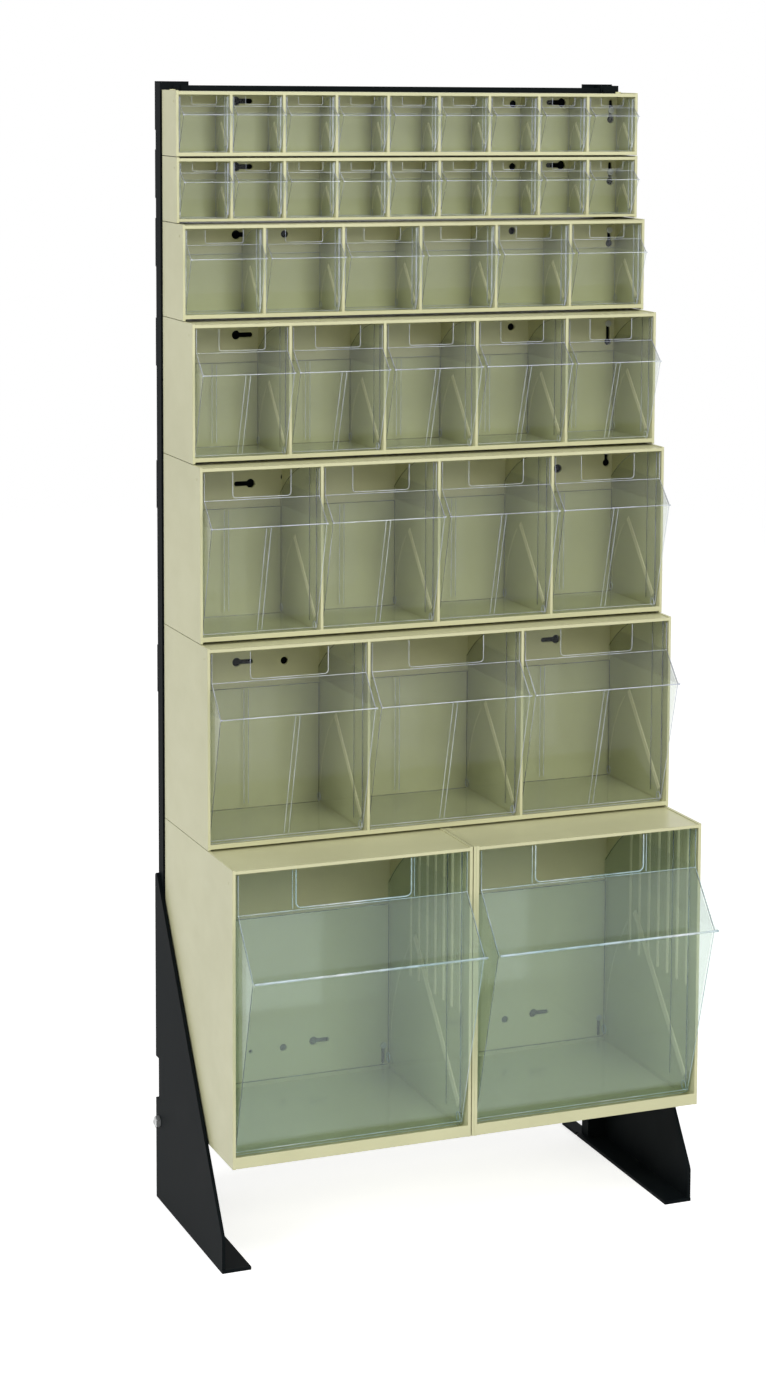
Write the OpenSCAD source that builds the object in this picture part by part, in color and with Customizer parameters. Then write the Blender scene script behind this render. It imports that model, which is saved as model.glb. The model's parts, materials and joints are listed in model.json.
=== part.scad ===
// Floor stand of tilt out bin cabinets.
// Seven rows of moulded housings hang on a black steel stand, small bins at the top and large ones
// at the bottom. Each clear bin tips forward about two pins near its bottom front corner.
// X runs to the right, Y into the cabinets, Z up. Millimetres. The origin is the middle of the
// outline on the floor. Lists with one value a row run from the top row down.

/* [Rows] */
// Height of each row's housing
row_h = [77.5, 77.2, 113, 164.5, 208, 240, 354.5]; // [70:0.5:400]
// Depth of each row's housing
row_d = [56.5, 58, 81, 117.5, 145.5, 172.5, 264]; // [50:0.5:320]
// Bins in each housing
row_n = [9, 9, 6, 5, 4, 3, 1]; // [1:1:12]
// Housings side by side in each row
row_sets = [1, 1, 1, 1, 1, 1, 2]; // [1:1:2]
// Width over a whole row
row_w = 600; // [560:1:620]
// Gap between one row and the next
row_gap = 0.8; // [0.4:0.1:2]
// Gap between housings that stand side by side
set_gap = 4.4; // [1:0.2:6]
// Floor to the underside of the bottom row
base_z = 133; // [100:1:180]

/* [Housings] */
// Thickness of the end walls, one for each row
end_t = [3.2, 3.2, 3.2, 3.2, 3.2, 3.2, 3.8]; // [3:0.1:4]
// Thickness of the walls between bins
divider_t = 3.4; // [3.2:0.1:4]
// Thickness of the back wall
back_t = 3; // [2:0.5:5]
// Thickness of the floor
floor_t = 2.3; // [2:0.1:4]
// Depth of the front bar above the bins
top_bar = 5; // [4:0.5:8]
// How far the top panel lies below the end walls' edges
rim_h = 1.2; // [0.5:0.1:2]
// Height of the front bar below the bins, one for each row
sill_h = [4.6, 4.5, 6.6, 6.9, 7.7, 6.4, 14]; // [4:0.1:16]
// Open height under the housing's floor, one for each row
foot_h = [0.3, 1.4, 2, 2, 2, 1.2, 0.4]; // [0:0.1:3]

/* [Bins] */
// How far the front's lip stands out of the housing, one for each row
lip_out = [16, 17, 19, 27, 30, 37, 62.5]; // [14:0.5:70]
// From the top of the opening down to the lip, one for each row
lip_drop = [23.5, 24, 35.3, 53.5, 63.6, 73, 113]; // [20:0.1:130]
// From the top of the opening down to the bend, one for each row
bend_drop = [13.5, 13.5, 19.4, 29.5, 34.4, 36.5, 49]; // [10:0.1:55]
// How far the edge to pull on stands out along the lip, one for each row
edge_out = [1.2, 1.2, 1.4, 1.6, 1.8, 4, 8.5]; // [1:0.1:9]
// Gap between a bin's side and the wall beside it, one for each row
side_gap = [1.2, 1.2, 1.2, 1.2, 1.2, 1.2, 2]; // [1:0.1:2]
// Gap between a bin's back and the housing's back wall
rear_gap = 3; // [2.8:0.1:6]
// How far each bin tips forward, in degrees
tilt_max = 48; // [30:1:48]

/* [Stand] */
// Height of the uprights
post_h = 1381; // [1376:1:1440]
// Width of an upright
post_w = 24.5; // [20:0.5:40]
// Depth of an upright
post_d = 19; // [18:0.5:22]
// Height of a cross rail
rail_h = 49; // [40:1:52]
// Thickness of the legs' plate
leg_t = 4; // [2:0.5:5]
// How far the legs reach forward of the housings' backs
leg_reach = 240; // [200:1:300]
// How far the legs' feet reach behind the housings' backs
tail_reach = 70; // [30:1:90]
// Width of the legs' foot on the floor
foot_w = 35.5; // [25:0.5:50]

/* [Hidden] */
ROWS = len(row_n);
LAST = ROWS - 1;
fine = 96;
round_fn = 48;

function row_set_name(r, s) = row_sets[r] == 1 ? str(r + 1) : str(r + 1, s == 0 ? "_left" : "_right");
function bins_across(r) = row_n[r] * row_sets[r];

HOUSING_NODES = [for (r = [0:LAST]) for (s = [0:row_sets[r] - 1]) str("housing_row", row_set_name(r, s))];
BIN_NODES = [for (r = [0:LAST]) for (b = [1:bins_across(r)]) str("bin_r", r + 1, "_", b)];
RAIL_NODES = [for (r = [0:LAST]) str("rail_row", r + 1)];
STAND_NODES = ["upright_left", "upright_right", "leg_left", "leg_right"];
FIXING_NODES = ["rail_bolts", "leg_bolts", "hanging_screws"];

// Where things lie in the whole stand
back_y = (row_d[LAST] + lip_out[LAST] - tail_reach) / 2;
half_w = row_w / 2;
set_w = (row_w - set_gap) / 2;

function sum_from(list, i) = i > LAST ? 0 : list[i] + sum_from(list, i + 1);
function row_z(r) = base_z + sum_from(row_h, r + 1) + (LAST - r) * row_gap;
function front_y(r) = back_y - row_d[r];
function open_z(r) = row_z(r) + sill_h[r];
function open_h(r) = row_h[r] - top_bar - sill_h[r];
function floor_drop(r) = sill_h[r] - foot_h[r] - floor_t;
function housing_w(r) = row_sets[r] == 1 ? row_w : set_w;
function housing_x(r, s) = s == 0 ? -half_w : half_w - set_w;

// Compartments: every one is the same width, with a divider between neighbours
function cell_w(r) = (housing_w(r) - 2 * end_t[r] - (row_n[r] - 1) * divider_t) / row_n[r];
function cell_x(r, s, b) = housing_x(r, s) + end_t[r] + b * (cell_w(r) + divider_t);

// Bin sizes grow with the height of the opening
function bin_t(r) = 1.1 + 0.004 * open_h(r);
function bin_w(r) = cell_w(r) - 2 * side_gap[r];
function pivot_s(r) = 6.5 + 0.04 * open_h(r);
function pivot_h(r) = 2 + 0.0095 * open_h(r);
function corner_r(r) = min(3 + 0.019 * open_h(r), pivot_h(r) + floor_drop(r) - 0.6);
function pin_r(r) = min(1.5 + 0.009 * open_h(r), corner_r(r) - 1.4);
function bin_rear(r) = row_d[r] - back_t - rear_gap;
function arc_r(r) = open_h(r) - pivot_h(r) - 1.2;
function rear_reach(r) = bin_rear(r) - pivot_s(r);
function arc_rise(r) = sqrt(pow(arc_r(r), 2) - pow(rear_reach(r), 2));
function rear_top(r) = pivot_h(r) + rear_share * arc_rise(r);
rear_share = 0.88;
top_play = 1.5;
face_in = 0.3;

// The rear stub on a bin's side runs under a slanting rib on the wall, which stops the tilt
stub_end_gap = 0.3;
rib_out = 0.7;
function rib_w(r) = 2 + 0.011 * open_h(r);
function stub_r(r) = pin_r(r);
function stub_out(r) = side_gap[r] - stub_end_gap;
function stub_s(r) = bin_rear(r) - stub_r(r) - 1;
function stub_h(r) = pivot_h(r) - corner_r(r) + stub_r(r) + 0.6;
function stub_reach(r) = norm([stub_s(r) - pivot_s(r), stub_h(r) - pivot_h(r)]);
function stub_angle(r) = atan2(stub_h(r) - pivot_h(r), stub_s(r) - pivot_s(r));
function rib_angle(r) = tilt_max + stub_angle(r) + asin((stub_r(r) + rib_w(r) / 2 + 0.35) / stub_reach(r));

// Pins turn in round sockets with a running fit
pin_play = 0.08;
pin_in = 1.4;
socket_in = 1.8;

// Sill: a flat top, then a slope down to the housing's floor
sill_flat = 1.6;

// Finger notch in the top of each bin's front
notch_share = 0.5;
notch_above_bend = 2.2;
notch_corner_share = 0.018;
bead_w = 4;
bead_out = 1;

// Twin ribs that would hold a partition, in the wider bins
rib_rows = [3, 4, 5];
twin_gap = 4.6;
twin_w = 1.1;
twin_out = 1.4;

// Flutes inside the big housings' end walls
flute_n = 12;
flute_w = 3;
flute_out = 0.4;
flute_step = 9;
flute_from = 24;

// Places along a row where the back wall is pierced, from the middle of the row
key_x = [-200, 211];
hole_x = [-147.5, 153.5];
slot_x = 288;
key_len = 24;
key_w = 6;
key_r = 5.5;
hole_r = 4.6;
slot_w = 5;
slot_r = 4.7;
// Height of the sideways keyholes and of the round holes above the opening's bottom
key_h = [60, 59.5, 89.5, 133, 159, 180.5, 37];
hole_h = [58, 58, 89.5, 133.7, 165, 178.5, 33.3];
// Height of the upright slots' lower end, and their length
slot_h = [39, 39.2, 72, 111.7, 163.7, 212, -2];
slot_len = [22, 21.5, 18, 24.5, 16, 9, 23.5];
// Rows whose upright slots end in a round hole
slot_round = [1, 1, 1, 1, 1, 0, 0];
// Side on which the round end of the left keyhole lies
key_round_right = [0, 0, 0, 0, 1, 0, 0];
set_hole_x = [151.5, 108.5];
set_hole_r = [4.6, 2.6];
set_key_x = 200.5;
set_slot_x = [13.8, 285.5];

// Dimples in the outer end walls
dimple_r = 1.4;
dimple_in = 0.5;
dimple_s = [9, 9, 12, 13, 12, 13, 13];
dimple_drop = [8, 8, 9, 9, 10, 9, 13];

// Locating bumps on the top row and the ticks behind the large sills
bump_r = 3.5;
bump_h = 1;
tick_x = 70;
tick_w = 2.2;

// Stand
stand_half = half_w + 1.5;
post_y = back_y + 3.5;
post_wall = 2;
post_in = stand_half - post_w;
rail_y = back_y + 3;
rail_t = 2;
rail_flange = 14;
rail_half = post_in - 1.5;
bracket_x = 260;
bracket_t = 2.5;
bracket_h = rail_h + 9;
bracket_y = post_y + post_d + 0.2;
rail_mid = [1353.5, 1272, 1190, 1070, 896.5, 669.5, 165];
bolt_x = post_in + 5.5;
bolt_rise = 21;
bolt_r = 3;
bolt_head_r = 3.8;
bolt_head_t = 2.8;
nut_r = 6;
nut_t = 4;
screw_r = 2;
screw_head_r = 3.9;
screw_head_t = 2.2;
screw_play = 0.1;
screw_len = 12;

// Legs
leg_top = 414;
leg_knee = 40;
leg_back = back_y + 25;
leg_notch_z = [128, 181];
leg_notch_in = 12;
leg_bolt_y = back_y + 12.5;
leg_bolt_z = 100.5;
leg_bolt_r = 4;
leg_bolt_head_r = 7.5;
leg_bolt_head_t = 5;
tail_w = 18;

ivory = [0.78, 0.76, 0.62];
clear = [0.80, 0.86, 0.84, 0.45];
black = [0.11, 0.13, 0.14];
zinc = [0.72, 0.74, 0.76];

// Extrudes an outline in section coordinates (distance behind the front, height) along X
module along_x(x, w) {
    translate([x, 0, 0]) rotate([90, 0, 90]) linear_extrude(w) children();
}

// Moves section coordinates of a row to their place in the stand
module in_row(r) {
    translate([0, front_y(r), open_z(r)]) children();
}

// A bar with round ends along X on the back wall, pierced through
module slot_through(len, w) {
    depth = back_t + 2;
    translate([-len / 2, -depth / 2, -w / 2]) cube([len, depth, w]);
    for (x = [-len / 2, len / 2]) translate([x, 0, 0]) hole_through(w / 2);
}

module hole_through(radius) {
    rotate([90, 0, 0]) cylinder(r = radius, h = back_t + 2, center = true, $fn = round_fn);
}

// Sideways keyhole: a slot with one large round end
module keyhole_through(round_right) {
    slot_through(key_len - key_w, key_w);
    translate([(round_right ? 1 : -1) * (key_len - key_w) / 2, 0, 0]) hole_through(key_r);
}

// Upright slot that starts at height 0, with a round hole at its foot if asked
module upright_slot(len, rounded) {
    translate([0, 0, len / 2]) rotate([0, 90, 0]) slot_through(len, slot_w);
    if (rounded) hole_through(slot_r);
}

module back_holes(r, s) {
    translate([0, row_d[r] - back_t / 2, 0]) {
        if (row_sets[r] == 1) {
            translate([key_x[0], 0, key_h[r]]) keyhole_through(key_round_right[r]);
            translate([key_x[1], 0, key_h[r]]) keyhole_through(true);
            for (x = hole_x) translate([x, 0, hole_h[r]]) hole_through(hole_r);
            for (x = [-slot_x, slot_x])
                translate([x, 0, slot_h[r]]) upright_slot(slot_len[r], slot_round[r]);
        } else {
            x0 = housing_x(r, s);
            translate([x0 + set_key_x, 0, key_h[r]]) keyhole_through(false);
            for (i = [0, 1]) translate([x0 + set_hole_x[i], 0, hole_h[r]]) hole_through(set_hole_r[i]);
            for (x = set_slot_x) translate([x0 + x, 0, slot_h[r]]) upright_slot(slot_len[r], false);
        }
    }
}

// The hollow of one compartment, in section coordinates
module cell_outline(r) {
    drop = floor_drop(r);
    deep = row_d[r] - back_t;
    polygon([[-1, 0], [sill_flat, 0], [sill_flat + drop, -drop], [deep, -drop], [deep, open_h(r)],
        [-1, open_h(r)]]);
}

// Slanting rib on the wall at x, on the side given by dir
module stop_rib(r, x, dir) {
    start = corner_r(r) + 2;
    len = stub_reach(r) + stub_r(r) - start;
    translate([dir > 0 ? x - 0.1 : x - rib_out, pivot_s(r), pivot_h(r)]) rotate([rib_angle(r), 0, 0])
        translate([0, start, -rib_w(r) / 2]) cube([rib_out + 0.1, len, rib_w(r)]);
}

module flutes(r, x, dir) {
    rise = open_h(r) * 0.6;
    for (i = [0:flute_n - 1])
        translate([dir > 0 ? x - 0.1 : x - flute_out, flute_from + i * flute_step, open_h(r) - rise - 4])
            cube([flute_out + 0.1, flute_w, rise]);
}

module housing(r, s) {
    w = housing_w(r);
    x0 = housing_x(r, s);
    z0 = -sill_h[r];
    d = row_d[r];
    color(ivory) in_row(r) {
        difference() {
            translate([x0, 0, z0]) cube([w, d, row_h[r]]);
            for (b = [0:row_n[r] - 1]) along_x(cell_x(r, s, b), cell_w(r)) cell_outline(r);
            translate([x0 + end_t[r], -1, z0 + row_h[r] - rim_h]) cube([w - 2 * end_t[r], d + 2, rim_h + 1]);
            translate([x0 + end_t[r], -1, z0 - 1]) cube([w - 2 * end_t[r], d + 2, foot_h[r] + 1]);
            sockets(r, s);
            back_holes(r, s);
            for (x = [x0, x0 + w])
                translate([x, dimple_s[r], open_h(r) - dimple_drop[r]])
                    rotate([0, 90, 0]) cylinder(r = dimple_r, h = 2 * dimple_in, center = true, $fn = 24);
        }
        for (b = [0:row_n[r] - 1]) {
            stop_rib(r, cell_x(r, s, b), 1);
            stop_rib(r, cell_x(r, s, b) + cell_w(r), -1);
        }
        if (r == 0) top_bumps(r, x0, w);
        if (r == LAST) {
            flutes(r, x0 + end_t[r], 1);
            flutes(r, x0 + w - end_t[r], -1);
            sill_ticks(r, x0 + w / 2);
        }
    }
}

// Round sockets for the pins: right through a divider, blind in an end wall
module sockets(r, s) {
    for (b = [0:row_n[r]]) {
        x = b == 0 ? cell_x(r, s, 0) - socket_in
          : b == row_n[r] ? cell_x(r, s, b - 1) + cell_w(r) - 0.5 : cell_x(r, s, b) - divider_t - 0.5;
        len = b == 0 || b == row_n[r] ? socket_in + 0.5 : divider_t + 1;
        translate([x, pivot_s(r), pivot_h(r)]) rotate([0, 90, 0])
            cylinder(r = pin_r(r) + pin_play, h = len, $fn = fine);
    }
}

module top_bumps(r, x0, w) {
    z = row_h[r] - sill_h[r] - rim_h - 0.1;
    for (x = [x0 + 8, x0 + w - 8])
        translate([x, row_d[r] - 16, z]) cylinder(r = bump_r, h = bump_h + rim_h, $fn = round_fn);
}

module sill_ticks(r, xc) {
    for (x = [xc - tick_x, xc + tick_x])
        translate([x - tick_w / 2, sill_flat - 0.5, -4]) cube([tick_w, 3, 4]);
}

// Front of a bin in section coordinates: it slants out from the bend to the lip, and back in to
// the corner arc about the pins. A small edge to pull on stands out along the lip.
function wall_out(r) = lip_out[r] - edge_out[r];
function lip_h(r) = open_h(r) - lip_drop[r];
function slant(r) = atan2(lip_drop[r] - bend_drop[r], wall_out(r) + face_in);
function lean(r) = let (run = wall_out(r) + pivot_s(r), rise = lip_h(r) - pivot_h(r))
    atan2(run, rise) - asin(corner_r(r) / norm([run, rise]));
function lip_point(r, t) = let (turn = (90 - lean(r) + slant(r)) / 2)
    [-wall_out(r) + t * cos(turn - slant(r)) / sin(turn), lip_h(r) - t * sin(turn - slant(r)) / sin(turn)];
function bend_point(r, t) = [face_in + t, open_h(r) - bend_drop[r] - t * tan((90 - slant(r)) / 2)];
function on_arc(r, radius, angle) = [pivot_s(r) + radius * cos(angle), pivot_h(r) + radius * sin(angle)];
arc_steps = 10;

// Edge along the lip: out to a blunt tip and back in underneath
function lip_edge(r) = let (e = edge_out[r])
    [[-wall_out(r) + 0.8 * e * cos(slant(r)), lip_h(r) + 0.8 * e * sin(slant(r))],
     [-lip_out[r], lip_h(r) + 0.15 * e], [-lip_out[r], lip_h(r) - 0.2 * e],
     [-wall_out(r) + 0.7 * e * sin(lean(r)), lip_h(r) - 0.7 * e * cos(lean(r))]];

// The outer skin for t = 0, and the hollow inside the walls for t > 0
module bin_outline(r, t, top) {
    radius = corner_r(r) - t;
    rear = bin_rear(r) - t;
    first = 180 + lean(r);
    polygon(concat([[face_in + t, top], bend_point(r, t)], t > 0 ? [lip_point(r, t)] : lip_edge(r),
        [for (i = [0:arc_steps]) on_arc(r, radius, first + (270 - first) * i / arc_steps)],
        [[rear, pivot_h(r) - radius], [rear, top]]));
}

module bin_solid(r, t, x, w, top) {
    along_x(x, w) bin_outline(r, t, top);
}

// Keeps the front as it is, and behind the pins all that clears the housing's top while it tips
module swing_room(r, x, w) {
    deep = lip_out[r] + pivot_s(r) + 1;
    translate([x - 1, -lip_out[r] - 1, -sill_h[r]]) cube([w + 2, deep, row_h[r]]);
    translate([x - 1, pivot_s(r), pivot_h(r)]) rotate([0, 90, 0]) cylinder(r = arc_r(r), h = w + 2, $fn = fine);
}

// Finger notch with rounded lower corners
module notch(r, xc) {
    w = notch_share * bin_w(r);
    z = open_h(r) - bend_drop[r] + notch_above_bend;
    c = notch_corner_share * open_h(r);
    translate([xc - w / 2, -1, z + c]) cube([w, bin_t(r) + bead_out + 2, open_h(r)]);
    translate([xc - w / 2 + c, -1, z]) cube([w - 2 * c, bin_t(r) + bead_out + 2, c + 0.1]);
    for (x = [xc - w / 2 + c, xc + w / 2 - c])
        translate([x, -1, z + c]) rotate([-90, 0, 0]) cylinder(r = c, h = bin_t(r) + bead_out + 2, $fn = round_fn);
}

module notch_beads(r, xc) {
    w = notch_share * bin_w(r);
    z = open_h(r) - bend_drop[r] + notch_above_bend;
    for (x = [xc - w / 2 - bead_w, xc + w / 2])
        translate([x, face_in + bin_t(r) - 0.1, z])
            cube([bead_w, bead_out + 0.1, open_h(r) - top_play - z]);
}

// Twin ribs up the inside of the front and of the back
module twin_ribs(r, xc) {
    t = bin_t(r);
    lip = lip_point(r, t);
    foot = on_arc(r, corner_r(r) - t, 180 + lean(r));
    len = norm(lip - foot) - 6;
    for (x = [xc - twin_gap / 2 - twin_w, xc + twin_gap / 2]) {
        translate([x, foot[0], foot[1]]) rotate([lean(r), 0, 0])
            translate([0, -0.2, 1]) cube([twin_w, twin_out + 0.2, len]);
        translate([x, bin_rear(r) - t - twin_out, pivot_h(r) - corner_r(r) + t - 0.1])
            cube([twin_w, twin_out + 0.1, rear_top(r) - pivot_h(r) + corner_r(r) - t - 2]);
    }
}

// One clear bin: shell, finger notch, pins at the front corner and stubs at the back corner
module bin(r, b) {
    s = floor(b / row_n[r]);
    x = cell_x(r, s, b - s * row_n[r]) + side_gap[r];
    w = bin_w(r);
    t = bin_t(r);
    xc = x + w / 2;
    color(clear) in_row(r) {
        difference() {
            union() {
                difference() {
                    intersection() {
                        bin_solid(r, 0, x, w, open_h(r) - top_play);
                        swing_room(r, x, w);
                    }
                    bin_solid(r, t, x + t, w - 2 * t, row_h[r]);
                    translate([x + t, bin_rear(r) - t - 0.5, rear_top(r)])
                        cube([w - 2 * t, t + 1, row_h[r]]);
                }
                notch_beads(r, xc);
            }
            notch(r, xc);
        }
        if (len(search(r, rib_rows)) > 0) twin_ribs(r, xc);
        for (end = [0, 1]) {
            reach = side_gap[r] + pin_in;
            translate([end ? x + w - t / 2 : x - reach, pivot_s(r), pivot_h(r)]) rotate([0, 90, 0])
                cylinder(r = pin_r(r), h = reach + t / 2, $fn = fine);
            translate([end ? x + w - t / 2 : x - stub_out(r), stub_s(r), stub_h(r)]) rotate([0, 90, 0])
                cylinder(r = stub_r(r), h = stub_out(r) + t / 2, $fn = round_fn);
        }
    }
}

// Upright: a square tube, pierced for the rail bolts, the hanging screws and the leg's bolt
module upright(side) {
    x0 = side < 0 ? -stand_half : post_in;
    color(black) difference() {
        translate([x0, post_y, leg_t]) cube([post_w, post_d, post_h - leg_t]);
        translate([x0 + post_wall, post_y + post_wall, leg_t + post_wall])
            cube([post_w - 2 * post_wall, post_d - 2 * post_wall, post_h]);
        for (r = [0:LAST]) {
            for (dz = [-bolt_rise, bolt_rise])
                translate([side * bolt_x, post_y + post_d / 2, rail_mid[r] + dz])
                    rotate([90, 0, 0]) cylinder(r = bolt_r + screw_play, h = post_d + 2, center = true, $fn = round_fn);
            for (x = screw_places(r)) if (x * side > post_in)
                translate([x, post_y, screw_z(r)])
                    rotate([90, 0, 0]) cylinder(r = screw_r + screw_play, h = 3 * post_wall, center = true, $fn = round_fn);
        }
        translate([side * (stand_half - post_wall / 2), leg_bolt_y, leg_bolt_z]) rotate([0, 90, 0])
            cylinder(r = leg_bolt_r + screw_play, h = 2 * post_wall, center = true, $fn = round_fn);
    }
}

// Leg: a side plate that slants down to the toe, with a foot on the floor
module leg(side) {
    outer = stand_half + leg_t;
    toe = back_y - leg_reach;
    front = leg_back - 11;
    color(black) {
        difference() {
            along_x(side < 0 ? -outer : stand_half, leg_t)
                polygon([[toe, 0], [leg_back, 0], [leg_back, leg_notch_z[0]],
                    [leg_back - leg_notch_in, leg_notch_z[0]], [leg_back - leg_notch_in, leg_notch_z[1]],
                    [leg_back, leg_notch_z[1]], [leg_back, leg_top - 3], [leg_back - 3, leg_top],
                    [leg_back - 7, leg_top], [front, leg_top - 5], [toe + 1.5, leg_knee + 4], [toe, leg_knee]]);
            translate([side * (stand_half + leg_t / 2), leg_bolt_y, leg_bolt_z]) rotate([0, 90, 0])
                cylinder(r = leg_bolt_r + screw_play, h = leg_t + 2, center = true, $fn = round_fn);
        }
        foot(side, toe);
    }
}

// Foot: a strip under the leg with a narrow tail behind it and a small relief at its root
module foot(side, toe) {
    outer = stand_half + leg_t;
    inner = outer - foot_w;
    mirror([side < 0 ? 1 : 0, 0, 0]) difference() {
        union() {
            translate([inner, toe - 1, 0]) cube([foot_w, leg_back - toe + 1, leg_t]);
            translate([inner, leg_back - 1, 0]) cube([tail_w, back_y + tail_reach - leg_back + 1, leg_t]);
        }
        translate([inner - 1, leg_back - 2, -1]) cube([4, 3, leg_t + 2]);
    }
}

// Rail: a channel between the uprights whose ends are held by brackets behind them
module rail(r) {
    z = rail_mid[r];
    low = z - rail_h / 2;
    color(black) difference() {
        union() {
            translate([-rail_half, rail_y, low]) cube([2 * rail_half, rail_t, rail_h]);
            for (zf = [low, low + rail_h - rail_t])
                translate([-bracket_x, rail_y, zf]) cube([2 * bracket_x, rail_flange, rail_t]);
            for (side = [-1, 1]) {
                web_x = side < 0 ? -bracket_x - bracket_t : bracket_x;
                plate_x = side < 0 ? -stand_half : bracket_x;
                translate([web_x, rail_y, low]) cube([bracket_t, bracket_y + bracket_t - rail_y, rail_h]);
                translate([plate_x, bracket_y, z - bracket_h / 2])
                    cube([stand_half - bracket_x, bracket_t, bracket_h]);
            }
        }
        for (side = [-1, 1]) for (dz = [-bolt_rise, bolt_rise])
            translate([side * bolt_x, bracket_y, z + dz]) rotate([90, 0, 0])
                cylinder(r = bolt_r + screw_play, h = 4 * bracket_t, center = true, $fn = round_fn);
        for (x = screw_places(r)) if (abs(x) < rail_half)
            translate([x, rail_y, screw_z(r)]) rotate([90, 0, 0])
                cylinder(r = screw_r + screw_play, h = 4 * rail_t, center = true, $fn = round_fn);
    }
}

// One bolt through an upright and the bracket behind it
module rail_bolt(x, z) {
    grip = bracket_y + bracket_t - post_y;
    translate([x, post_y, z]) {
        rotate([90, 0, 0]) cylinder(r = bolt_head_r, h = bolt_head_t, $fn = round_fn);
        rotate([-90, 0, 0]) cylinder(r = bolt_r, h = grip + nut_t + 2, $fn = round_fn);
        translate([0, grip, 0]) rotate([-90, 0, 0]) cylinder(r = nut_r, h = nut_t, $fn = 6);
    }
}

module rail_bolts() {
    color(black) for (r = [0:LAST]) for (side = [-1, 1]) for (dz = [-bolt_rise, bolt_rise])
        rail_bolt(side * bolt_x, rail_mid[r] + dz);
}

module leg_bolts() {
    color(zinc) for (side = [-1, 1]) mirror([side < 0 ? 1 : 0, 0, 0])
        translate([stand_half + leg_t, leg_bolt_y, leg_bolt_z]) {
            rotate([0, 90, 0]) cylinder(r = leg_bolt_head_r, h = leg_bolt_head_t, $fn = 6);
            translate([-leg_t - post_wall - nut_t - 1, 0, 0]) rotate([0, 90, 0])
                cylinder(r = leg_bolt_r, h = leg_t + post_wall + nut_t + 1.5, $fn = round_fn);
            translate([-leg_t - post_wall - nut_t, 0, 0]) rotate([0, 90, 0])
                cylinder(r = leg_bolt_head_r, h = nut_t, $fn = 6);
        }
}

// Where the housings' screws go: along the row, and above the floor
function screw_places(r) = row_sets[r] == 1 ? [-slot_x, slot_x]
    : [for (s = [0, 1]) for (x = set_slot_x) housing_x(r, s) + x];
screw_rise = [11.5, 11.5, 17, 23, 14.5, 8, 22];
function screw_z(r) = open_z(r) + slot_h[r] + screw_rise[r];

module hanging_screws() {
    color(zinc) for (r = [0:LAST]) for (x = screw_places(r))
        translate([x, back_y - back_t, screw_z(r)]) {
            rotate([90, 0, 0]) cylinder(r = screw_head_r, h = screw_head_t, $fn = round_fn);
            rotate([-90, 0, 0]) cylinder(r = screw_r, h = screw_len, $fn = round_fn);
        }
}

upright(-1);  // upright_left
upright(1);  // upright_right
leg(-1);  // leg_left
leg(1);  // leg_right
for (r = [0:LAST]) rail(r);
rail_bolts();
leg_bolts();
hanging_screws();
for (r = [0:LAST]) for (s = [0:row_sets[r] - 1])
    housing(r, s);
for (r = [0:LAST]) for (b = [0:bins_across(r) - 1])
    bin(r, b);
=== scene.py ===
"""Looks of a floor stand of tilt out bins: ivory moulded housings and clear bins on a black steel stand."""
import logging
import math
from dataclasses import dataclass, field, replace
from enum import Enum
from typing import Any, Iterable, Optional, Union

import bpy
from mathutils import Matrix, Vector
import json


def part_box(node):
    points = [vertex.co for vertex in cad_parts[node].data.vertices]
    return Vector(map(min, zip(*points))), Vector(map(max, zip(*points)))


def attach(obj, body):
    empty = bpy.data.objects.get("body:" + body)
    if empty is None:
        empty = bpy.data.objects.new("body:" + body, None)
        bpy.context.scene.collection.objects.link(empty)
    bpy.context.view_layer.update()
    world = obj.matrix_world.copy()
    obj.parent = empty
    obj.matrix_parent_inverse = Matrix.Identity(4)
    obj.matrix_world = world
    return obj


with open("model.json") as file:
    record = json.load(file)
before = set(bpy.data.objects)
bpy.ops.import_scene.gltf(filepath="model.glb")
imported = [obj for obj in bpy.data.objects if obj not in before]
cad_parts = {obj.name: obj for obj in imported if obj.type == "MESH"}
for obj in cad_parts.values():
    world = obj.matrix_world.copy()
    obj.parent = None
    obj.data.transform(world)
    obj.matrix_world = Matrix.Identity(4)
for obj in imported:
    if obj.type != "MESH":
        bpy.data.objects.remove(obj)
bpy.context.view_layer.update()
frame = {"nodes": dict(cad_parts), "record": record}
LOG = logging.getLogger("bin_stand")
MM = 0.001
PINS = {joint["name"]: joint["pos_m"] for joint in frame["record"]["behaviour"]["joints"]}
WHITE = (1.0, 1.0, 1.0, 1.0)

Colour = tuple[float, float, float]
Pair = tuple[float, float]
Place = tuple[float, float, float]


@dataclass(frozen=True)
class Grain:
    """A noise over the object coordinates.

    It has its grains in a metre, its octaves, how strong the fine octaves are, and a scale along X, Y and Z.
    """

    scale: float
    detail: float = 2.0
    roughness: float = 0.5
    stretch: Colour = (1.0, 1.0, 1.0)


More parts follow.
